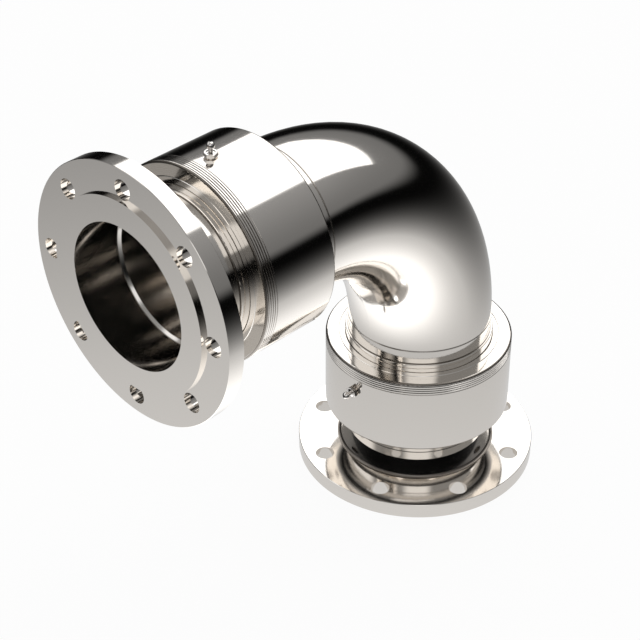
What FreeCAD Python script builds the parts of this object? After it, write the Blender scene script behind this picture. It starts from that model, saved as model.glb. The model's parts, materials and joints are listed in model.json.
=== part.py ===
# Flanged double swivel joint: two sealed plain-bearing swivels on a 90 degree long-radius elbow.
# Millimetres, +Z up. The origin is the centre of the lower flange's sealing face, the lower
# swivel turns about Z, and the branch swivel turns about an axis parallel to X.
import FreeCAD, Part
import os
import Sketcher

doc = FreeCAD.newDocument("swivel_joint")

# Driving sizes, all in millimetres apart from the counts
driving_sizes = {
    # weld-neck flange, drilled 8 x 22 on 240
    "flange_diameter": 285,
    "bolt_edge": 22.5,
    "bolt_hole": 22,
    "bolt_count": 8,
    "rim_thickness": 19,
    "face_edge": 34.5,
    "face_height": 4,
    "rim_bevel": 0.5,
    "hub_thickness": 7.85,
    "hub_length": 21,
    "hub_rounding": 4,
    "flange_length": 55,
    # pipe size of the elbow and of every weld end
    "pipe_diameter": 168.3,
    "pipe_wall": 4.5,
    "bend_radius": 228.5,
    "weld_bevel": 0.8,
    # walls and steps outwards from the pipe's bore to the outside of the housing
    "bore_step": 3.15,
    "journal_wall": 7.5,
    "collar_step": 2.8,
    "bush_wall": 10,
    "seal_depth": 8,
    "rib_step": 0.5,
    "nut_bore_step": 0.2,
    "thrust_step": 4,
    "shim_land": 4,
    "thread_wall": 4,
    "nut_wall": 4,
    # housing, measured along the swivel axis from its back face
    "housing_length": 95,
    "spigot_length": 25,
    "edge_rounding": 2,
    "neck_rounding": 15,
    "floor_thickness": 10,
    "pilot_length": 4,
    "seal_width": 8,
    "seam_bevel": 0.5,
    # bronze bushes, one each side of the sleeve's rib
    "thrust_width": 4,
    "rib_width": 10,
    "grease_groove_count": 4,
    "grease_groove_width": 3,
    "grease_groove_depth": 1,
    "grease_groove_land": 3,
    # clamping stack at the open end
    "shim_thickness": 0.8,
    "outer_bush_length": 11.5,
    "wiper_width": 7.5,
    "nut_length": 15,
    "nut_plate": 5,
    "thread_end_gap": 0.5,
    "nut_groove_count": 4,
    "nut_groove_pitch": 2.86,
    "nut_groove_width": 1.5,
    "nut_groove_depth": 1.1,
    "nut_rounding": 2.5,
    # turning sleeve
    "collar_length": 10,
    "sleeve_reach": 27.5,
    "nose_gap": 0.5,
    "nose_bevel": 1,
    # seals
    "seal_wall": 4,
    "wiper_groove": 2.5,
    # grease nipple
    "nipple_thread": 10,
    "nipple_shank": 10,
    "nipple_stand_off": 1.2,
    "nipple_hex": 13,
    "nipple_hex_height": 4,
    "nipple_hex_bevel": 1,
    "nipple_neck": 5,
    "nipple_head": 8.8,
    "nipple_head_height": 12.5,
    "nipple_bore": 2.4,
    # clearances, on the radius unless they say axial
    "running_fit": 0.05,
    "seated_fit": 0.05,
    "axial_play": 0.1,
    "pilot_clearance": 0.5,
    "lip_clearance": 0.4,
    "gland_seam": 0.1,
}

sheet = doc.addObject("Spreadsheet::Sheet", "Sizes")
for row, (alias, value) in enumerate(driving_sizes.items(), start=1):
    sheet.set(f"A{row}", alias)
    sheet.set(f"B{row}", str(value))
    sheet.setAlias(f"B{row}", alias)
doc.recompute()


# Working lengths, written as sums of the driving sizes

def radius(name):
    return f"Sizes.{name} / 2"


def size(name):
    return f"Sizes.{name}"


hub_end = "Sizes.face_height + Sizes.rim_thickness + Sizes.hub_length"

# radii of a swivel, each built outwards on the one before
pipe_bore = "(Sizes.pipe_diameter / 2 - Sizes.pipe_wall)"
swivel_bore = f"({pipe_bore} - Sizes.bore_step)"
journal = f"({swivel_bore} + Sizes.journal_wall)"
collar = f"({journal} + Sizes.collar_step)"
seal_pocket = f"({journal} + Sizes.seal_depth)"
bush_outside = f"({journal} + Sizes.bush_wall)"
nut_bore = f"({bush_outside} + Sizes.nut_bore_step)"
rib = f"({bush_outside} + Sizes.rib_step)"
thrust = f"({bush_outside} + Sizes.thrust_step)"
gland = f"({thrust} + Sizes.shim_land)"
thread = f"({gland} + Sizes.thread_wall)"
housing_outside = f"({thread} + Sizes.nut_wall)"

# stations along a swivel's axis, from the back face of its housing: the seal end is
# counted from the back, the clamping stack from the open end, the inner bush fills between
pocket_floor = "Sizes.floor_thickness + Sizes.pilot_length"
bush_start = f"{pocket_floor} + Sizes.seal_width"
nut_start = "Sizes.housing_length - Sizes.nut_length"
plate_start = "Sizes.housing_length - Sizes.nut_plate"
thread_end = f"{plate_start} - Sizes.thread_end_gap"
wiper_start = f"{plate_start} - Sizes.wiper_width"
gland_start = f"{wiper_start} - Sizes.outer_bush_length"
shim_seat = f"{gland_start} - Sizes.shim_thickness"
rib_end = f"{gland_start} - Sizes.thrust_width"
rib_start = f"{rib_end} - Sizes.rib_width"
thrust_start = f"{rib_start} - Sizes.thrust_width"
bush_length = f"({thrust_start} - ({bush_start}))"
nipple_station = f"{rib_start} + Sizes.rib_width / 2"
collar_end = "Sizes.housing_length + Sizes.collar_length"
sleeve_end = "Sizes.housing_length + Sizes.sleeve_reach"

# where the two swivels stand in the assembly
base_back = "Sizes.flange_length + Sizes.spigot_length"
elbow_start = f"{base_back} + {sleeve_end}"
branch_height = f"{elbow_start} + Sizes.bend_radius"
branch_back = "Sizes.bend_radius + Sizes.spigot_length"
side_face = f"{branch_back} + {sleeve_end} + Sizes.flange_length"

# the branch swivel is the base swivel turned half round between +X and +Z
as_modelled = FreeCAD.Rotation()
half_turn = FreeCAD.Rotation(FreeCAD.Vector(1, 0, 1), 180)
quarter_turn = FreeCAD.Rotation(FreeCAD.Vector(0, 1, 0), 90)
facing_side = FreeCAD.Rotation(FreeCAD.Vector(0, 1, 0), -90)

# a nipple's hexagon stands wherever its thread comes tight
tightened = FreeCAD.Rotation(FreeCAD.Vector(0, 0, 1), 15)

# the base flange's holes straddle its centre lines
half_hole_pitch = "180 deg / Sizes.bolt_count"
straddling = FreeCAD.Rotation(FreeCAD.Vector(0, 0, 1), 180 / driving_sizes["bolt_count"])

swivels = {
    "base": {
        "turn": as_modelled,
        "back": ("0", "0", base_back),
        "nipple": (housing_outside, "0", f"{base_back} + {nipple_station}"),
    },
    "branch": {
        "turn": half_turn,
        "back": (branch_back, "0", branch_height),
        "nipple": (f"{branch_back} + {nipple_station}", "0",
                   f"{branch_height} + {housing_outside}"),
    },
}


# Helpers for turned pieces

same_place = 0.01


def number(expression):
    return float(sheet.evalExpression(expression))


def new_body(label):
    body = doc.addObject("PartDesign::Body", label)
    body.Label = label
    return body


def origin_plane(body, role):
    for feature in body.Origin.OriginFeatures:
        if feature.Role == role:
            return feature
    raise ValueError(role)


def new_sketch(body, name, role):
    sketch = body.newObject("Sketcher::SketchObject", name)
    sketch.AttachmentSupport = (origin_plane(body, role), [""])
    sketch.MapMode = "FlatFace"
    return sketch


def bind(sketch, kind, geometry, point, expression):
    """Tie a point's distance from the sketch origin to an expression of the sizes."""
    index = sketch.addConstraint(
        Sketcher.Constraint(kind, -1, 1, geometry, point, number(expression)))
    sketch.setExpression(f"Constraints[{index}]", expression)


def outline(sketch, corners):
    """Closed run of straight lines through corners, each given as two expressions."""
    points = [FreeCAD.Vector(number(across), number(along), 0) for across, along in corners]
    count = len(points)
    for index in range(count):
        sketch.addGeometry(Part.LineSegment(points[index], points[(index + 1) % count]), False)
    for index in range(count):
        sketch.addConstraint(
            Sketcher.Constraint("Coincident", index, 2, (index + 1) % count, 1))
    for index, (across, along) in enumerate(corners):
        bind(sketch, "DistanceX", index, 1, across)
        bind(sketch, "DistanceY", index, 1, along)


def turned(label, corners):
    """Piece turned about its own Z axis from a closed outline of (radius, station) corners."""
    body = new_body(label)
    sketch = new_sketch(body, f"{label}_profile", "XZ_Plane")
    outline(sketch, corners)
    turning = body.newObject("PartDesign::Revolution", f"{label}_turning")
    turning.Profile = sketch
    turning.ReferenceAxis = (sketch, ["V_Axis"])
    turning.Angle = 360
    return body


def placed(body, turn, spot):
    """Stand a body in the assembly, with its position tied to the sizes."""
    body.Placement = FreeCAD.Placement(FreeCAD.Vector(*[number(part) for part in spot]), turn)
    for axis_name, expression in zip("xyz", spot):
        body.setExpression(f".Placement.Base.{axis_name}", expression)
    return body


def drilled(body, name, role, diameter, depth, across="0", along="0"):
    """Plain round hole cut square to one of the body's origin planes, along its +normal."""
    before = body.Shape.Volume
    sketch = new_sketch(body, f"{name}_sketch", role)
    centre = FreeCAD.Vector(number(across), number(along), 0)
    sketch.addGeometry(Part.Circle(centre, FreeCAD.Vector(0, 0, 1), number(diameter) / 2), False)
    bind(sketch, "DistanceX", 0, 3, across)
    bind(sketch, "DistanceY", 0, 3, along)
    index = sketch.addConstraint(Sketcher.Constraint("Diameter", 0, number(diameter)))
    sketch.setExpression(f"Constraints[{index}]", diameter)
    hole = body.newObject("PartDesign::Pocket", name)
    hole.Profile = sketch
    hole.setExpression("Length", depth)
    hole.Reversed = True
    doc.recompute()
    if body.Shape.Volume >= before:
        raise ValueError(f"{name} cuts nothing")
    return hole


def ringed(body, name, features, count):
    """Repeat features evenly round the body's own Z axis."""
    ring = body.newObject("PartDesign::PolarPattern", name)
    ring.Originals = features
    ring.Axis = (origin_plane(body, "Z_Axis"), [""])
    ring.Angle = 360
    ring.setExpression("Occurrences", count)
    body.Tip = ring


def rounded(body, name, corner_radius, station, rounding):
    """Round a turned corner, found by its radius and its station along the axis."""
    doc.recompute()
    turning = body.Tip
    corners = []
    for index, edge in enumerate(turning.Shape.Edges, start=1):
        if not isinstance(edge.Curve, Part.Circle):
            continue
        right_size = abs(edge.Curve.Radius - number(corner_radius)) < same_place
        right_station = abs(edge.Curve.Center.z - number(station)) < same_place
        if right_size and right_station:
            corners.append(f"Edge{index}")
    if not corners:
        raise ValueError(f"{name} finds no corner")
    fillet = body.newObject("PartDesign::Fillet", name)
    fillet.Base = (turning, corners)
    fillet.setExpression("Radius", rounding)
    return fillet


def slotted(body, name, inside, outside, station, depth, upwards):
    """Radial slot of the grease groove's width, cut along the axis from a station."""
    slot_sketch = new_sketch(body, f"{name}_sketch", "XY_Plane")
    slot_sketch.setExpression(".AttachmentOffset.Base.z", station)
    half_width = "Sizes.grease_groove_width / 2"
    outline(slot_sketch, [
        (inside, f"-{half_width}"),
        (outside, f"-{half_width}"),
        (outside, half_width),
        (inside, half_width),
    ])
    slot = body.newObject("PartDesign::Pocket", name)
    slot.Profile = slot_sketch
    slot.setExpression("Length", depth)
    slot.Reversed = upwards
    return slot


# Weld-neck flange, sealing face at its own Z = 0 and weld end at the top

def flange(label):
    body = turned(label, [
        (pipe_bore, "0"),
        ("Sizes.flange_diameter / 2 - Sizes.face_edge", "0"),
        ("Sizes.flange_diameter / 2 - Sizes.face_edge", size("face_height")),
        ("Sizes.flange_diameter / 2 - Sizes.rim_bevel", size("face_height")),
        (radius("flange_diameter"), "Sizes.face_height + Sizes.rim_bevel"),
        (radius("flange_diameter"), "Sizes.face_height + Sizes.rim_thickness - Sizes.rim_bevel"),
        ("Sizes.flange_diameter / 2 - Sizes.rim_bevel", "Sizes.face_height + Sizes.rim_thickness"),
        ("Sizes.pipe_diameter / 2 + Sizes.hub_thickness", "Sizes.face_height + Sizes.rim_thickness"),
        (radius("pipe_diameter"), hub_end),
        (radius("pipe_diameter"), size("flange_length")),
        (pipe_bore, size("flange_length")),
    ])
    rounded(body, f"{label}_hub_rounding", "Sizes.pipe_diameter / 2 + Sizes.hub_thickness",
            "Sizes.face_height + Sizes.rim_thickness", size("hub_rounding"))
    doc.recompute()
    hole = drilled(body, f"{label}_bolt_hole", "XY_Plane", size("bolt_hole"),
                   "Sizes.face_height + Sizes.rim_thickness + Sizes.rim_bevel",
                   across="Sizes.flange_diameter / 2 - Sizes.bolt_edge")
    ringed(body, f"{label}_bolt_circle", [hole], size("bolt_count"))
    return body


# Elbow, a quarter turn of pipe from its own origin up +Z and round to +X

def elbow():
    body = new_body("elbow")
    sketch = new_sketch(body, "elbow_section", "XY_Plane")
    middle = FreeCAD.Vector(0, 0, 0)
    for index, expression in enumerate((radius("pipe_diameter"), pipe_bore)):
        sketch.addGeometry(
            Part.Circle(middle, FreeCAD.Vector(0, 0, 1), number(expression)), False)
        sketch.addConstraint(Sketcher.Constraint("Coincident", index, 3, -1, 1))
        place = sketch.addConstraint(Sketcher.Constraint("Radius", index, number(expression)))
        sketch.setExpression(f"Constraints[{place}]", expression)
    bend = number("Sizes.bend_radius")
    axis = sketch.addGeometry(
        Part.LineSegment(FreeCAD.Vector(bend, -bend, 0), FreeCAD.Vector(bend, bend, 0)), True)
    sketch.addConstraint(Sketcher.Constraint("Vertical", axis))
    bind(sketch, "DistanceX", axis, 1, "Sizes.bend_radius")
    bind(sketch, "DistanceY", axis, 1, "-Sizes.bend_radius")
    bind(sketch, "DistanceY", axis, 2, "Sizes.bend_radius")
    sweep = body.newObject("PartDesign::Revolution", "elbow_bend")
    sweep.Profile = sketch
    sweep.ReferenceAxis = (sketch, ["Axis0"])
    sweep.Angle = 90
    doc.recompute()
    ends = []
    for index, edge in enumerate(body.Shape.Edges, start=1):
        is_circle = isinstance(edge.Curve, Part.Circle)
        if is_circle and abs(edge.Curve.Radius - number(radius("pipe_diameter"))) < same_place:
            ends.append(f"Edge{index}")
    bevel = body.newObject("PartDesign::Chamfer", "elbow_weld_bevels")
    bevel.Base = (sweep, ends)
    bevel.setExpression("Size", size("weld_bevel"))
    return body


# Housing: spigot, bearing chamber open at the far end, and a thread for the nut

def housing(label):
    spigot_end = "-Sizes.spigot_length"
    body = turned(label, [
        (pipe_bore, spigot_end),
        ("Sizes.pipe_diameter / 2 - Sizes.weld_bevel", spigot_end),
        (radius("pipe_diameter"), f"{spigot_end} + Sizes.weld_bevel"),
        (radius("pipe_diameter"), "0"),
        (housing_outside, "0"),
        (housing_outside, f"{nut_start} - Sizes.seam_bevel"),
        (f"{housing_outside} - Sizes.seam_bevel", nut_start),
        (thread, nut_start),
        (thread, thread_end),
        (gland, thread_end),
        (gland, shim_seat),
        (thrust, shim_seat),
        (thrust, thrust_start),
        (bush_outside, thrust_start),
        (bush_outside, bush_start),
        (seal_pocket, bush_start),
        (seal_pocket, pocket_floor),
        (f"{journal} + Sizes.pilot_clearance", pocket_floor),
        (f"{journal} + Sizes.pilot_clearance", size("floor_thickness")),
        (swivel_bore, size("floor_thickness")),
        (swivel_bore, f"{spigot_end} + Sizes.bore_step"),
    ])
    rounded(body, f"{label}_neck_rounding", radius("pipe_diameter"), "0", size("neck_rounding"))
    rounded(body, f"{label}_back_rounding", housing_outside, "0", size("edge_rounding"))
    doc.recompute()
    drilled(body, f"{label}_grease_hole", "YZ_Plane",
            "Sizes.nipple_thread + 2 * Sizes.seated_fit", housing_outside,
            along=nipple_station)
    return body


# Sleeve that turns inside the housing: journal, thrust rib, collar and weld end

def sleeve(label):
    nose = "Sizes.floor_thickness + Sizes.nose_gap"
    return turned(label, [
        (swivel_bore, nose),
        (f"{journal} - Sizes.nose_bevel", nose),
        (journal, f"{nose} + Sizes.nose_bevel"),
        (journal, f"{rib_start} + Sizes.axial_play"),
        (rib, f"{rib_start} + Sizes.axial_play"),
        (rib, f"{rib_end} - Sizes.axial_play"),
        (collar, f"{rib_end} - Sizes.axial_play"),
        (collar, f"{collar_end} - Sizes.seam_bevel"),
        (f"{collar} - Sizes.seam_bevel", collar_end),
        (radius("pipe_diameter"), collar_end),
        (radius("pipe_diameter"), f"{sleeve_end} - Sizes.weld_bevel"),
        ("Sizes.pipe_diameter / 2 - Sizes.weld_bevel", sleeve_end),
        (pipe_bore, sleeve_end),
        (swivel_bore, f"{sleeve_end} - Sizes.bore_step"),
    ])


# Bronze bushes with a thrust flange against each side of the rib, and grease grooves
# that run out across the thrust face from blind slots along the bore

def grooved(body, label, bore, thrust_face, barrel_length, upwards):
    doc.recompute()
    along_bore = slotted(body, f"{label}_bore_groove", f"{bore} - Sizes.grease_groove_width",
                         f"{bore} + Sizes.grease_groove_depth", thrust_face,
                         f"{barrel_length} - Sizes.grease_groove_land", upwards)
    across_face = slotted(body, f"{label}_face_groove", bore, thrust,
                          thrust_face, size("grease_groove_depth"), upwards)
    doc.recompute()
    ringed(body, f"{label}_grooves", [along_bore, across_face], size("grease_groove_count"))
    return body


def inner_bush(label):
    bore = f"{journal} + Sizes.running_fit"
    body = turned(label, [
        (bore, bush_start),
        (f"{bush_outside} - Sizes.seated_fit", bush_start),
        (f"{bush_outside} - Sizes.seated_fit", thrust_start),
        (f"{thrust} - Sizes.seated_fit", thrust_start),
        (f"{thrust} - Sizes.seated_fit", rib_start),
        (bore, rib_start),
    ])
    return grooved(body, label, bore, rib_start, f"{bush_length} + Sizes.thrust_width", False)


def outer_bush(label):
    bore = f"{collar} + Sizes.running_fit"
    body = turned(label, [
        (bore, rib_end),
        (f"{thrust} - Sizes.seated_fit", rib_end),
        (f"{thrust} - Sizes.seated_fit", gland_start),
        (f"{bush_outside} - Sizes.seated_fit", gland_start),
        (f"{bush_outside} - Sizes.seated_fit", wiper_start),
        (bore, wiper_start),
    ])
    barrel_length = "Sizes.thrust_width + Sizes.outer_bush_length"
    return grooved(body, label, bore, rib_end, barrel_length, True)


# Gland ring: carries the outer bush and the wiper, its lip stands flush in the nut's bore

def gland_ring(label):
    outside = f"{gland} - Sizes.seated_fit"
    lip_inside = f"{collar} + Sizes.lip_clearance"
    lip_outside = f"{nut_bore} - Sizes.gland_seam"
    return turned(label, [
        (bush_outside, gland_start),
        (outside, gland_start),
        (outside, plate_start),
        (lip_outside, plate_start),
        (lip_outside, "Sizes.housing_length - Sizes.seam_bevel"),
        (f"{lip_outside} - Sizes.seam_bevel", size("housing_length")),
        (f"{lip_inside} + Sizes.seam_bevel", size("housing_length")),
        (lip_inside, "Sizes.housing_length - Sizes.seam_bevel"),
        (lip_inside, plate_start),
        (bush_outside, plate_start),
    ])


def shim(label):
    return turned(label, [
        (f"{thrust} + Sizes.seated_fit", shim_seat),
        (f"{gland} - Sizes.seated_fit", shim_seat),
        (f"{gland} - Sizes.seated_fit", gland_start),
        (f"{thrust} + Sizes.seated_fit", gland_start),
    ])


# Ring nut, flush with the housing, with fine grip grooves turned round it

def ring_nut(label):
    body = turned(label, [
        (f"{thread} + Sizes.seated_fit", nut_start),
        (f"{housing_outside} - Sizes.seam_bevel", nut_start),
        (housing_outside, f"{nut_start} + Sizes.seam_bevel"),
        (housing_outside, size("housing_length")),
        (f"{nut_bore} + Sizes.seam_bevel", size("housing_length")),
        (nut_bore, "Sizes.housing_length - Sizes.seam_bevel"),
        (nut_bore, plate_start),
        (f"{thread} + Sizes.seated_fit", plate_start),
    ])
    first = f"{nut_start} + Sizes.nut_groove_pitch"
    vee_sketch = new_sketch(body, f"{label}_grip_sketch", "XZ_Plane")
    outline(vee_sketch, [
        (housing_outside, f"{first} - Sizes.nut_groove_width / 2"),
        (housing_outside, f"{first} + Sizes.nut_groove_width / 2"),
        (f"{housing_outside} - Sizes.nut_groove_depth", first),
    ])
    vee = body.newObject("PartDesign::Groove", f"{label}_grip_groove")
    vee.Profile = vee_sketch
    vee.ReferenceAxis = (vee_sketch, ["V_Axis"])
    vee.Angle = 360
    row = body.newObject("PartDesign::LinearPattern", f"{label}_grip")
    row.Originals = [vee]
    row.Direction = (origin_plane(body, "Z_Axis"), [""])
    row.setExpression("Length", "Sizes.nut_groove_pitch * (Sizes.nut_groove_count - 1)")
    row.setExpression("Occurrences", size("nut_groove_count"))
    body.Tip = row
    rounded(body, f"{label}_rounding", housing_outside, size("housing_length"),
            size("nut_rounding"))
    return body


# Seals: PTFE ring on the journal with a rubber energiser behind it, and a rubber wiper

def main_seal(label):
    inside = f"{journal} + Sizes.running_fit"
    return turned(label, [
        (inside, pocket_floor),
        (f"{inside} + Sizes.seal_wall", pocket_floor),
        (f"{inside} + Sizes.seal_wall", bush_start),
        (inside, bush_start),
    ])


def seal_energiser(label):
    inside = f"{journal} + Sizes.running_fit + Sizes.seal_wall + Sizes.seated_fit"
    outside = f"{seal_pocket} - Sizes.seated_fit"
    return turned(label, [
        (inside, pocket_floor),
        (outside, pocket_floor),
        (outside, bush_start),
        (inside, bush_start),
    ])


def wiper(label):
    inside = f"{collar} + Sizes.running_fit"
    outside = f"{bush_outside} - Sizes.seated_fit"
    return turned(label, [
        (inside, wiper_start),
        (outside, wiper_start),
        (outside, plate_start),
        (inside, plate_start),
        (f"{inside} + Sizes.wiper_groove", f"{plate_start} - Sizes.wiper_groove"),
    ])


# Grease nipple: threaded shank below its own Z = 0, hexagon just clear of it, neck, ball head

def nipple(label):
    head = radius("nipple_head")
    centre = size("nipple_head_height")
    hex_start = size("nipple_stand_off")
    hex_end = "Sizes.nipple_stand_off + Sizes.nipple_hex_height"
    body = turned(label, [
        (radius("nipple_bore"), "-Sizes.nipple_shank"),
        (radius("nipple_thread"), "-Sizes.nipple_shank"),
        (radius("nipple_thread"), hex_end),
        (radius("nipple_neck"), f"{hex_end} + Sizes.nipple_hex_bevel"),
        (radius("nipple_neck"), centre),
        (radius("nipple_bore"), centre),
    ])
    hexagon = new_sketch(body, f"{label}_hexagon", "XY_Plane")
    hexagon.setExpression(".AttachmentOffset.Base.z", hex_start)
    across_corners = "Sizes.nipple_hex / 2 / cos(30 deg)"
    outline(hexagon, [
        (across_corners, "0"),
        (f"{across_corners} / 2", radius("nipple_hex")),
        (f"-{across_corners} / 2", radius("nipple_hex")),
        (f"-{across_corners}", "0"),
        (f"-{across_corners} / 2", "-Sizes.nipple_hex / 2"),
        (f"{across_corners} / 2", "-Sizes.nipple_hex / 2"),
    ])
    prism = body.newObject("PartDesign::Pad", f"{label}_hexagon_pad")
    prism.Profile = hexagon
    prism.setExpression("Length", size("nipple_hex_height"))
    ball = body.newObject("PartDesign::AdditiveSphere", f"{label}_head")
    ball.setExpression("Radius", head)
    ball.AttachmentSupport = (origin_plane(body, "XY_Plane"), [""])
    ball.MapMode = "FlatFace"
    ball.setExpression(".AttachmentOffset.Base.z", centre)
    doc.recompute()
    far = f"{across_corners} + Sizes.nipple_hex_bevel"
    for end, face, inward in (("top", hex_end, "-"), ("bottom", hex_start, "+")):
        corner_cut = new_sketch(body, f"{label}_{end}_corner_cut", "XZ_Plane")
        outline(corner_cut, [
            (radius("nipple_hex"), face),
            (far, f"{face} {inward} Sizes.nipple_hex_bevel"),
            (far, face),
        ])
        rounding = body.newObject("PartDesign::Groove", f"{label}_{end}_corner_rounding")
        rounding.Profile = corner_cut
        rounding.ReferenceAxis = (corner_cut, ["V_Axis"])
        rounding.Angle = 360
        doc.recompute()
    drilled(body, f"{label}_grease_way", "XY_Plane", size("nipple_bore"),
            f"{centre} + {head} + Sizes.nipple_shank")
    return body


# The assembly

base_flange = placed(flange("base_flange"), straddling, ("0", "0", "0"))
base_flange.setExpression(".Placement.Rotation.Angle", half_hole_pitch)
pieces = [base_flange]

ring_makers = {
    "housing": housing,
    "inner_bush": inner_bush,
    "outer_bush": outer_bush,
    "gland_ring": gland_ring,
    "shim_ring": shim,
    "ring_nut": ring_nut,
    "main_seal": main_seal,
    "seal_energiser": seal_energiser,
    "wiper_seal": wiper,
    "sleeve": sleeve,
}

for name, swivel in swivels.items():
    for piece, make in ring_makers.items():
        pieces.append(placed(make(f"{name}_{piece}"), swivel["turn"], swivel["back"]))
    outward = swivel["turn"].multiply(quarter_turn).multiply(tightened)
    pieces.append(placed(nipple(f"{name}_grease_nipple"), outward, swivel["nipple"]))

pieces.append(placed(elbow(), as_modelled, ("0", "0", elbow_start)))
pieces.append(placed(flange("side_flange"), facing_side, (side_face, "0", branch_height)))
doc.recompute()

# Every object has to be sound before anything is written
for item in doc.Objects:
    if "Invalid" in item.State or "Error" in item.State:
        raise ValueError(f"{item.Name}: {item.State}")
for piece in pieces:
    if piece.Shape.isNull() or not piece.Shape.isValid():
        raise ValueError(f"{piece.Label} has no sound shape")

os.makedirs("parts", exist_ok=True)
for piece in pieces:
    piece.Shape.exportStep(f"parts/{piece.Label}.step")
    print(piece.Label, len(piece.Shape.Solids), round(piece.Shape.Volume))
print("pieces", len(pieces))
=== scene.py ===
# Studio picture of a polished steel pipe swivel joint: a lower swivel under a long-radius
# elbow, and a second swivel and flange on its side outlet.
import json
import math

import bpy
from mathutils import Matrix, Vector

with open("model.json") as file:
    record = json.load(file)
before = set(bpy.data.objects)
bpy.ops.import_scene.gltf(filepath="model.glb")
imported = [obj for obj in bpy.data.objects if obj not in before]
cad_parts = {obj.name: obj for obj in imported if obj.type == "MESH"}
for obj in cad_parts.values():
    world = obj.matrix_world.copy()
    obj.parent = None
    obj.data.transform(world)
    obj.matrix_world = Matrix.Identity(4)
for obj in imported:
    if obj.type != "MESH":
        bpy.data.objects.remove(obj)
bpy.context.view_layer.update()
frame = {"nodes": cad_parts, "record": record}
nodes = frame["nodes"]
print("frame loaded,", len(nodes), "pieces")

white = (1, 1, 1, 1)


# Node helpers

# one Math node: a number goes on the socket, anything else is linked
def mathNode(tree, operation, first, second=None, clamp=False):
    node = tree.nodes.new("ShaderNodeMath")
    node.operation = operation
    node.use_clamp = clamp
    for index, value in enumerate((first, second)):
        if value is None:
            continue
        if isinstance(value, (int, float)):
            node.inputs[index].default_value = value
        else:
            tree.links.new(value, node.inputs[index])
    return node.outputs[0]


# nought below an edge and one above it, eased over a width to each side
def smoothStep(tree, value, edge, width):
    ramp = tree.nodes.new("ShaderNodeMapRange")
    ramp.interpolation_type = "SMOOTHSTEP"
    ramp.inputs["From Min"].default_value = edge - width
    ramp.inputs["From Max"].default_value = edge + width
    tree.links.new(value, ramp.inputs["Value"])
    return ramp.outputs["Result"]


# one between two limits and nought outside them, with a soft edge
def within(tree, value, limits, width):
    low = smoothStep(tree, value, limits[0], width)
    high = smoothStep(tree, value, limits[1], width)
    return mathNode(tree, "SUBTRACT", low, high)


# square root of the sum of two squares
def hypotenuse(tree, first, second):
    squares = mathNode(tree, "ADD", mathNode(tree, "MULTIPLY", first, first),
                       mathNode(tree, "MULTIPLY", second, second))
    return mathNode(tree, "SQRT", squares)


def newMaterial(name):
    material = bpy.data.materials.new(name)
    material.use_nodes = True
    tree = material.node_tree
    tree.nodes.clear()
    out = tree.nodes.new("ShaderNodeOutputMaterial")
    return material, tree, out


# Studio: a bright main panel with one slanting end and two dimmer panels beside it, over grey
# walls, a dark band at eye level and a floor that brightens downwards. Polished metal shows
# all of it, and the camera sees plain white. Panels are laid out on a ceiling at height one.
studio = {
    "panelLevel": 1.85,
    "panelX": (-2.12, -0.14),
    "panelSlant": 0.45,
    "panelY": (-1.85, 0.51),
    "panelEdge": 0.03,
    "sidePanels": (
        {"x": (0.42, 5.00), "y": (0.54, 1.90), "level": 0.75},
        {"x": (0.16, 3.00), "y": (-1.45, -0.62), "level": 0.80},
    ),
    "sideEdge": 0.14,
    "lowestHeight": 0.01,  # keeps the division by the height finite
    "wallLevel": 0.172,
    "wallRise": 0.335,
    "bandTop": 0.118,
    "bandLift": 0.09,
    "bandEdge": 0.08,
    "bandLevel": 0.002,
    "floorRise": 3.03,
    "floorPower": 3.0,
    "floorBend": 0.6,
    "floorEase": 1.8,
    "backdropLevel": 1.0,
}


# floor: rises with a power of the way down, and eases off near straight below
def floorLevel(tree, z):
    down = mathNode(tree, "MAXIMUM", mathNode(tree, "MULTIPLY", z, -1.0), 0.0)
    steep = mathNode(tree, "POWER", down, studio["floorPower"])
    late = mathNode(tree, "MAXIMUM", mathNode(tree, "SUBTRACT", down, studio["floorBend"]), 0.0)
    return mathNode(tree, "SUBTRACT", mathNode(tree, "MULTIPLY", steep, studio["floorRise"]),
                    mathNode(tree, "MULTIPLY", late, studio["floorEase"]))


# walls: a level that rises with the square of the height
def wallLevel(tree, z):
    rise = mathNode(tree, "MULTIPLY", mathNode(tree, "MULTIPLY", z, z), studio["wallRise"])
    return mathNode(tree, "ADD", rise, studio["wallLevel"])


# one above the dark band, which reaches higher towards the back of the studio
def aboveBand(tree, y, z):
    backward = mathNode(tree, "MAXIMUM", mathNode(tree, "MULTIPLY", y, -1.0), 0.0)
    lift = mathNode(tree, "MULTIPLY", backward, studio["bandLift"])
    lifted = mathNode(tree, "SUBTRACT", z, lift)
    return smoothStep(tree, lifted, studio["bandTop"], studio["bandEdge"])


# one inside the main panel, whose far end slants
def mainPanel(tree, acrossX, acrossY):
    slant = mathNode(tree, "MULTIPLY", acrossY, studio["panelSlant"])
    leaning = mathNode(tree, "ADD", acrossX, slant)
    farEnd = smoothStep(tree, leaning, studio["panelX"][0], studio["panelEdge"])
    nearEnd = smoothStep(tree, acrossX, studio["panelX"][1], studio["panelEdge"])
    along = mathNode(tree, "SUBTRACT", farEnd, nearEnd, clamp=True)
    return mathNode(tree, "MULTIPLY", along,
                    within(tree, acrossY, studio["panelY"], studio["panelEdge"]))


# the sum of the side panels' levels
def sidePanels(tree, acrossX, acrossY):
    total = 0.0
    for panel in studio["sidePanels"]:
        inside = mathNode(tree, "MULTIPLY",
                          within(tree, acrossX, panel["x"], studio["sideEdge"]),
                          within(tree, acrossY, panel["y"], studio["sideEdge"]))
        total = mathNode(tree, "ADD", total, mathNode(tree, "MULTIPLY", inside, panel["level"]))
    return total


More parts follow.
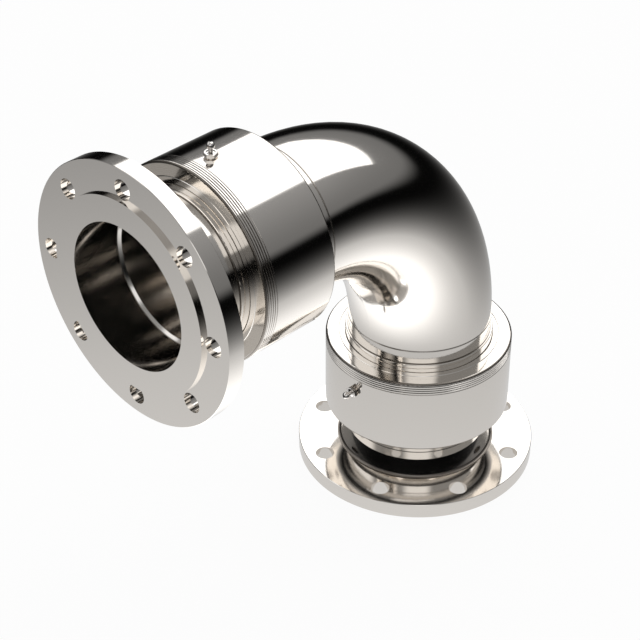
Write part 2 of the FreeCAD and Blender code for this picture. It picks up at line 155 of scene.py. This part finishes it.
def buildStudio():
    world = bpy.data.worlds.new("studio")
    bpy.context.scene.world = world
    world.use_nodes = True
    tree = world.node_tree
    tree.nodes.clear()
    place = tree.nodes.new("ShaderNodeTexCoord")
    split = tree.nodes.new("ShaderNodeSeparateXYZ")
    tree.links.new(place.outputs["Generated"], split.inputs[0])
    x, y, z = split.outputs
    height = mathNode(tree, "MAXIMUM", z, studio["lowestHeight"])
    acrossX = mathNode(tree, "DIVIDE", x, height)
    acrossY = mathNode(tree, "DIVIDE", y, height)
    above = aboveBand(tree, y, z)
    inside = mathNode(tree, "MULTIPLY", mainPanel(tree, acrossX, acrossY), above)
    panelPart = mathNode(tree, "MULTIPLY", inside, studio["panelLevel"])
    sidePart = mathNode(tree, "MULTIPLY", sidePanels(tree, acrossX, acrossY), above)
    wallPart = mathNode(tree, "MULTIPLY", wallLevel(tree, z),
                        mathNode(tree, "SUBTRACT", above, inside))
    lower = mathNode(tree, "ADD", floorLevel(tree, z), studio["bandLevel"])
    upper = mathNode(tree, "ADD", wallPart, mathNode(tree, "ADD", sidePart, panelPart))
    light = tree.nodes.new("ShaderNodeBackground")
    light.inputs["Color"].default_value = white
    tree.links.new(mathNode(tree, "ADD", lower, upper), light.inputs["Strength"])
    backdrop = tree.nodes.new("ShaderNodeBackground")
    backdrop.inputs["Color"].default_value = white
    backdrop.inputs["Strength"].default_value = studio["backdropLevel"]
    path = tree.nodes.new("ShaderNodeLightPath")
    pick = tree.nodes.new("ShaderNodeMixShader")
    tree.links.new(path.outputs["Is Camera Ray"], pick.inputs[0])
    tree.links.new(light.outputs[0], pick.inputs[1])
    tree.links.new(backdrop.outputs[0], pick.inputs[2])
    out = tree.nodes.new("ShaderNodeOutputWorld")
    tree.links.new(pick.outputs[0], out.inputs["Surface"])


# Floor: plain white to the camera, with a trace of the joint's shadow
floorPlan = {
    "reach": 4.0,
    "drop": 0.0006,
    "shade": 0.06,
    "paint": (0.93, 0.93, 0.93),
    "plainLevel": 1.0,
}


def buildFloor():
    reach = floorPlan["reach"]
    drop = -floorPlan["drop"]
    mesh = bpy.data.meshes.new("floor")
    mesh.from_pydata([(-reach, -reach, drop), (reach, -reach, drop),
                      (reach, reach, drop), (-reach, reach, drop)], [], [(0, 1, 2, 3)])
    floor = bpy.data.objects.new("floor", mesh)
    bpy.context.scene.collection.objects.link(floor)
    floor.visible_glossy = False
    material, tree, out = newMaterial("floorPaint")
    paint = tree.nodes.new("ShaderNodeBsdfDiffuse")
    paint.inputs["Color"].default_value = (*floorPlan["paint"], 1)
    plain = tree.nodes.new("ShaderNodeEmission")
    plain.inputs["Color"].default_value = white
    plain.inputs["Strength"].default_value = floorPlan["plainLevel"]
    path = tree.nodes.new("ShaderNodeLightPath")
    share = mathNode(tree, "MULTIPLY", path.outputs["Is Camera Ray"], 1 - floorPlan["shade"])
    mix = tree.nodes.new("ShaderNodeMixShader")
    tree.links.new(share, mix.inputs[0])
    tree.links.new(paint.outputs[0], mix.inputs[1])
    tree.links.new(plain.outputs[0], mix.inputs[2])
    tree.links.new(mix.outputs[0], out.inputs["Surface"])
    mesh.materials.append(material)


# Camera, at the photograph's viewing angle
cameraPlan = {
    "azimuth": 134.91,
    "elevation": 35.40,
    "target": (0.16539, 0.0, 0.27067),
    "distance": 2.05142,
    "lens": 104.74,
    "sensor": 36.0,
    "farthest": 50,
}


def buildCamera():
    azimuth = math.radians(cameraPlan["azimuth"])
    elevation = math.radians(cameraPlan["elevation"])
    back = Vector((math.sin(azimuth) * math.cos(elevation),
                   -math.cos(azimuth) * math.cos(elevation),
                   math.sin(elevation)))
    data = bpy.data.cameras.new("camera")
    data.lens = cameraPlan["lens"]
    data.sensor_width = cameraPlan["sensor"]
    data.clip_end = cameraPlan["farthest"]
    camera = bpy.data.objects.new("camera", data)
    bpy.context.scene.collection.objects.link(camera)
    camera.location = Vector(cameraPlan["target"]) + back * cameraPlan["distance"]
    camera.rotation_euler = back.to_track_quat("Z", "Y").to_euler()
    bpy.context.scene.camera = camera


# Shared effects

driftPlan = {
    "scale": 40.0,
    "grainScale": 900.0,
    "roughness": 0.04,
    "spread": 0.02,
    "driftDetail": 3,
    "grainDetail": 2,
}


# slow drift and fine grain of a surface, as a roughness and a height
def driftEffect():
    group = bpy.data.node_groups.new("surfaceDrift", "ShaderNodeTree")
    face = group.interface
    for name, key in (("Scale", "scale"), ("Grain Scale", "grainScale"),
                      ("Roughness", "roughness"), ("Spread", "spread")):
        socket = face.new_socket(name=name, in_out="INPUT", socket_type="NodeSocketFloat")
        socket.default_value = driftPlan[key]
    for name in ("Roughness", "Height"):
        face.new_socket(name=name, in_out="OUTPUT", socket_type="NodeSocketFloat")
    entry = group.nodes.new("NodeGroupInput")
    leave = group.nodes.new("NodeGroupOutput")
    place = group.nodes.new("ShaderNodeTexCoord")
    drift = group.nodes.new("ShaderNodeTexNoise")
    drift.inputs["Detail"].default_value = driftPlan["driftDetail"]
    grain = group.nodes.new("ShaderNodeTexNoise")
    grain.inputs["Detail"].default_value = driftPlan["grainDetail"]
    for noise, scale in ((drift, "Scale"), (grain, "Grain Scale")):
        group.links.new(place.outputs["Object"], noise.inputs["Vector"])
        group.links.new(entry.outputs[scale], noise.inputs["Scale"])
    centred = mathNode(group, "SUBTRACT", drift.outputs["Fac"], 0.5)
    swing = mathNode(group, "MULTIPLY", centred, entry.outputs["Spread"])
    rough = mathNode(group, "ADD", swing, entry.outputs["Roughness"], clamp=True)
    group.links.new(rough, leave.inputs["Roughness"])
    group.links.new(grain.outputs["Fac"], leave.inputs["Height"])
    return group


ringPlan = {
    "scale": 2600.0,
    "detail": 1,
    "strength": 0.35,
    "depth": 0.000002,
}


# rings left by the tool: a noise drawn out round the axis, as a height
def ringEffect():
    group = bpy.data.node_groups.new("turningRings", "ShaderNodeTree")
    for name in ("Radius", "Station", "Scale"):
        group.interface.new_socket(name=name, in_out="INPUT", socket_type="NodeSocketFloat")
    group.interface.new_socket(name="Height", in_out="OUTPUT", socket_type="NodeSocketFloat")
    entry = group.nodes.new("NodeGroupInput")
    leave = group.nodes.new("NodeGroupOutput")
    spot = group.nodes.new("ShaderNodeCombineXYZ")
    group.links.new(entry.outputs["Radius"], spot.inputs[0])
    group.links.new(entry.outputs["Station"], spot.inputs[1])
    noise = group.nodes.new("ShaderNodeTexNoise")
    noise.inputs["Detail"].default_value = ringPlan["detail"]
    group.links.new(spot.outputs[0], noise.inputs["Vector"])
    group.links.new(entry.outputs["Scale"], noise.inputs["Scale"])
    group.links.new(noise.outputs["Fac"], leave.inputs["Height"])
    return group


# Polished steel. Each piece was turned about its own swivel's axis, so the finish first finds
# the radius from that axis and the station along it.
turning = {
    "branchHeight": 0.431,
    "bend": 0.2285,
    "elbowStart": 0.2025,
}


# radius and station of a surface point: about Z for the base, about the raised X axis for
# the branch, and about the bend's centre line for the elbow
def turnedPlace(tree, side):
    place = tree.nodes.new("ShaderNodeTexCoord")
    split = tree.nodes.new("ShaderNodeSeparateXYZ")
    tree.links.new(place.outputs["Object"], split.inputs[0])
    x, y, z = split.outputs
    if side == "base":
        return hypotenuse(tree, x, y), z
    if side == "branch":
        return hypotenuse(tree, y, mathNode(tree, "SUBTRACT", z, turning["branchHeight"])), x
    across = mathNode(tree, "SUBTRACT", x, turning["bend"])
    up = mathNode(tree, "SUBTRACT", z, turning["elbowStart"])
    reach = mathNode(tree, "SUBTRACT", hypotenuse(tree, across, up), turning["bend"])
    ends = mathNode(tree, "MINIMUM", mathNode(tree, "ABSOLUTE", across),
                    mathNode(tree, "ABSOLUTE", up))
    return hypotenuse(tree, reach, y), ends


# Where dark lines lie: stations along Z for the base swivel and along X for the branch swivel.
# The grip grooves and the corners get painted shade; a corner of painted shade is (from, to,
# inner radius, outer radius).
jointLines = {
    "base": {
        "flangeSeam": 0.0550,
        "nutSeam": 0.1600,
        "weld": 0.2025,
        "grip": (0.1608, 0.1726),
        "paintedShadeCorners": {
            "housingBack": (0.0799, 0.0820, 0.1080, 0.1120),
            "nutFront": (0.1729, 0.1755, 0.1080, 0.1120),
            "hubFoot": (0.0228, 0.0260, 0.0880, 0.0950),
            "neckFoot": (0.1850, 0.1862, 0.0830, 0.0850),
        },
    },
    "branch": {
        "flangeSeam": 0.3760,
        "nutSeam": 0.3335,
        "weld": 0.2285,
        "grip": (0.3343, 0.3461),
        "paintedShadeCorners": {
            "housingBack": (0.2534, 0.2555, 0.1080, 0.1120),
            "nutFront": (0.3464, 0.3490, 0.1080, 0.1120),
            "hubFoot": (0.4050, 0.4082, 0.0880, 0.0950),
            "neckFoot": (0.3585, 0.3597, 0.0830, 0.0850),
        },
    },
}

# How wide the dark seams and the painted shade are, in metres, and how dark each kind gets
shading = {
    "seamHalf": 0.0009,
    "weldHalf": 0.0015,
    "nutRadius": 0.1100,
    "flankStart": 0.00005,
    "flankDepth": 0.0005,
    "gripReach": 0.0015,
    "gripEdge": 0.0001,
    "cornerEdge": 0.0002,
    "seamDark": 0.85,
    "paintedGrooveDark": 0.80,
    "paintedCornerDark": 0.90,
    "dulling": 0.25,
}


# one at a station and nought half a width away
def lineAt(tree, station, middle, half):
    away = mathNode(tree, "ABSOLUTE", mathNode(tree, "SUBTRACT", station, middle))
    return mathNode(tree, "SUBTRACT", 1.0, mathNode(tree, "DIVIDE", away, half), clamp=True)


# painted shade down the flanks of the grip grooves, between the nut's rim and the reach of the
# grooves
def paintedGrooveShade(tree, grip, radius, station):
    deep = mathNode(tree, "SUBTRACT", shading["nutRadius"] - shading["flankStart"], radius)
    flank = mathNode(tree, "MULTIPLY", deep, 1 / shading["flankDepth"], clamp=True)
    row = within(tree, station, grip, shading["gripEdge"])
    near = mathNode(tree, "GREATER_THAN", radius, shading["nutRadius"] - shading["gripReach"])
    dark = mathNode(tree, "MULTIPLY", mathNode(tree, "MULTIPLY", flank, row), shading["paintedGrooveDark"])
    return mathNode(tree, "MULTIPLY", dark, near)


# how dark a point is: full at a seam, and painted shade down the flanks of the grip grooves,
# at the outer edges of housing and nut, and at the foot of the flange hub and of the neck
def seamsAndPaintedShade(tree, side, radius, station):
    if side == "elbow":
        return mathNode(tree, "MULTIPLY", lineAt(tree, station, 0.0, shading["weldHalf"]),
                        shading["seamDark"])
    lines = jointLines[side]
    seam = lineAt(tree, station, lines["weld"], shading["weldHalf"])
    for name in ("flangeSeam", "nutSeam"):
        line = lineAt(tree, station, lines[name], shading["seamHalf"])
        seam = mathNode(tree, "MAXIMUM", seam, line)
    shade = mathNode(tree, "MAXIMUM", mathNode(tree, "MULTIPLY", seam, shading["seamDark"]),
                     paintedGrooveShade(tree, lines["grip"], radius, station))
    # painted shade at the outer edges of housing and nut and at the feet of hub and neck
    for low, high, inner, outer in lines["paintedShadeCorners"].values():
        corner = mathNode(tree, "MULTIPLY",
                          within(tree, station, (low, high), shading["cornerEdge"]),
                          within(tree, radius, (inner, outer), shading["cornerEdge"]))
        dark = mathNode(tree, "MULTIPLY", corner, shading["paintedCornerDark"])
        shade = mathNode(tree, "MAXIMUM", shade, dark)
    return shade


steel = {
    "tint": (0.80, 0.765, 0.722, 1),
    "seamAndShadeColour": (0.16, 0.14, 0.12, 1),
    "roughness": 0.09,
    "drift": 0.03,
    "driftScale": 26.0,
    "boreRoughness": 0.14,
    "boreRadius": 0.0802,
}


def polishedSteel(side, drift, rings):
    material, tree, out = newMaterial("polishedSteel_" + side)
    shader = tree.nodes.new("ShaderNodeBsdfPrincipled")
    tree.links.new(shader.outputs[0], out.inputs["Surface"])
    shader.inputs["Metallic"].default_value = 1.0
    radius, station = turnedPlace(tree, side)
    shade = seamsAndPaintedShade(tree, side, radius, station)
    # the steel's tint goes towards a dark colour at the seams and where shade is painted in
    # grooves and corners
    colour = tree.nodes.new("ShaderNodeMix")
    colour.data_type = "RGBA"
    tree.links.new(shade, colour.inputs[0])
    colour.inputs[6].default_value = steel["tint"]  # sockets 6 and 7 are the two colours
    colour.inputs[7].default_value = steel["seamAndShadeColour"]
    tree.links.new(colour.outputs[2], shader.inputs["Base Color"])
    # polish outside, a duller machined bore inside
    effect = tree.nodes.new("ShaderNodeGroup")
    effect.node_tree = drift
    effect.inputs["Scale"].default_value = steel["driftScale"]
    effect.inputs["Roughness"].default_value = steel["roughness"]
    effect.inputs["Spread"].default_value = steel["drift"]
    inside = mathNode(tree, "LESS_THAN", radius, steel["boreRadius"])
    extra = mathNode(tree, "MULTIPLY", inside, steel["boreRoughness"] - steel["roughness"])
    dull = mathNode(tree, "MULTIPLY", shade, shading["dulling"])
    rough = mathNode(tree, "ADD", mathNode(tree, "ADD", effect.outputs["Roughness"], extra), dull)
    tree.links.new(rough, shader.inputs["Roughness"])
    ring = tree.nodes.new("ShaderNodeGroup")
    ring.node_tree = rings
    tree.links.new(radius, ring.inputs["Radius"])
    tree.links.new(station, ring.inputs["Station"])
    ring.inputs["Scale"].default_value = ringPlan["scale"]
    relief = tree.nodes.new("ShaderNodeBump")
    relief.inputs["Strength"].default_value = ringPlan["strength"]
    relief.inputs["Distance"].default_value = ringPlan["depth"]
    tree.links.new(ring.outputs["Height"], relief.inputs["Height"])
    tree.links.new(relief.outputs[0], shader.inputs["Normal"])
    return material


# Small pieces: nipples, shims, bushes, sealing rings and rubber
smallFinishes = {
    "nipple_steel": {"colour": (0.80, 0.77, 0.74), "metallic": 1.0, "roughness": 0.08,
                     "spread": 0.04, "scale": 120.0, "grain": 0.02},
    "shim_steel": {"colour": (0.60, 0.60, 0.58), "metallic": 1.0, "roughness": 0.28,
                   "spread": 0.10, "scale": 60.0, "grain": 0.10},
    "bearing_bronze": {"colour": (0.62, 0.41, 0.20), "metallic": 1.0, "roughness": 0.25,
                       "spread": 0.10, "scale": 60.0, "grain": 0.15},
    "ptfe": {"colour": (0.86, 0.86, 0.83), "metallic": 0.0, "roughness": 0.35,
             "spread": 0.08, "scale": 60.0, "grain": 0.05},
    "seal_rubber": {"colour": (0.03, 0.03, 0.03), "metallic": 0.0, "roughness": 0.55,
                    "spread": 0.12, "scale": 60.0, "grain": 0.30},
}
grainDepth = 0.0001


# a plain finish with drift in its gloss and grain in its relief
def plainFinish(name, look, drift):
    material, tree, out = newMaterial(name)
    shader = tree.nodes.new("ShaderNodeBsdfPrincipled")
    tree.links.new(shader.outputs[0], out.inputs["Surface"])
    shader.inputs["Base Color"].default_value = (*look["colour"], 1)
    shader.inputs["Metallic"].default_value = look["metallic"]
    effect = tree.nodes.new("ShaderNodeGroup")
    effect.node_tree = drift
    effect.inputs["Scale"].default_value = look["scale"]
    effect.inputs["Roughness"].default_value = look["roughness"]
    effect.inputs["Spread"].default_value = look["spread"]
    tree.links.new(effect.outputs["Roughness"], shader.inputs["Roughness"])
    relief = tree.nodes.new("ShaderNodeBump")
    relief.inputs["Strength"].default_value = look["grain"]
    relief.inputs["Distance"].default_value = grainDepth
    tree.links.new(effect.outputs["Height"], relief.inputs["Height"])
    tree.links.new(relief.outputs[0], shader.inputs["Normal"])
    return material


# which axis a steel piece was turned about
def sideOf(node):
    if node == "elbow":
        return "elbow"
    if node == "side_flange" or node.startswith("branch"):
        return "branch"
    return "base"


def finishNodes():
    drift = driftEffect()
    rings = ringEffect()
    steels = {side: polishedSteel(side, drift, rings) for side in ("base", "branch", "elbow")}
    others = {name: plainFinish(name, look, drift) for name, look in smallFinishes.items()}
    for entry in frame["record"]["subparts"]:
        node = entry["node"]
        slotName = entry["material_slot"]
        finish = steels[sideOf(node)] if slotName == "polished_steel" else others[slotName]
        for slot in nodes[node].material_slots:
            slot.material = finish


buildStudio()
print("studio built")
buildFloor()
print("floor laid")
buildCamera()
print("camera placed")
finishNodes()
print("finishes on", len(nodes), "pieces")

bpy.context.scene.view_settings.view_transform = "Standard"
